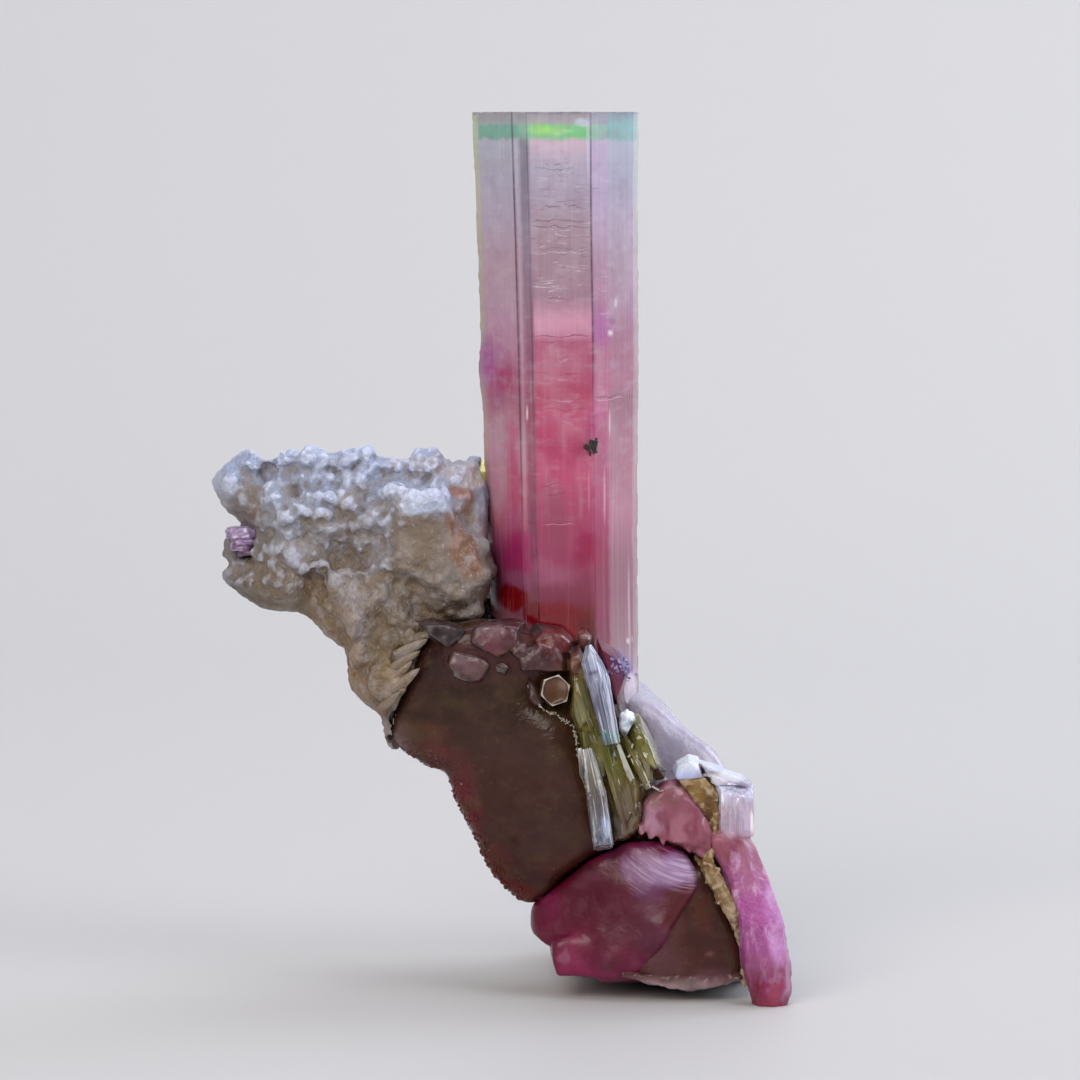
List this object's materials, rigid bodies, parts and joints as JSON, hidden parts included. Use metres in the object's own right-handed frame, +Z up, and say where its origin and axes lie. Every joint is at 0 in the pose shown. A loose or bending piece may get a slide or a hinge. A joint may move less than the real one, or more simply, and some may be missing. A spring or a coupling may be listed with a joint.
{
  "type": "tourmaline with smoky quartz",
  "caption": "Upright mineral specimen: a tall zoned tourmaline prism on smoky quartz, with a white albite mass, rose and green tourmalines and pale quartz.",
  "frame": {"origin": "middle of the bounding box's footprint, on the ground", "axes": "+Z up along the tall prism, +X towards the side tourmaline, -Y towards the viewer"},
  "size_m": [0.0584, 0.0366, 0.0883],
  "materials": {
    "zoned_tourmaline": "glassy striated prism, green at the cap, pale lilac, then pink and red at the foot",
    "clear_tourmaline": "clear, nearly colourless, with glassy striated faces",
    "olive_tourmaline": "clear olive green, glassy",
    "rose_tourmaline": "milky rose to magenta, silky on its breaks",
    "smoky_quartz": "brown-grey smoky quartz, part clear, satin",
    "pale_quartz": "pale lilac-grey milky quartz, smooth",
    "lavender_grain": "brownish lilac, part-clear broken shards",
    "cream_albite": "bluish white to cream, matt, brown in the hollows",
    "lavender_mica": "pearly lavender mica",
    "ochre_seam": "matt ochre clay and iron stain"
  },
  "bodies": {
    "root": {"tourmaline_prism": "zoned_tourmaline", "clear_prism_upper": "clear_tourmaline", "clear_prism_lower": "clear_tourmaline", "end_on_prism": "clear_tourmaline", "green_tourmaline": "olive_tourmaline", "yellow_green_prism": "olive_tourmaline", "side_tourmaline": "rose_tourmaline", "base_tourmaline": "rose_tourmaline", "rose_wedge": "rose_tourmaline", "rose_shard": "rose_tourmaline", "smoky_quartz": "smoky_quartz", "pale_quartz": "pale_quartz", "pearly_crystal": "pale_quartz", "foot_shards": "lavender_grain", "albite_mass": "cream_albite", "mica_book": "lavender_mica", "ochre_seam": "ochre_seam"}
  },
  "joints": []
}
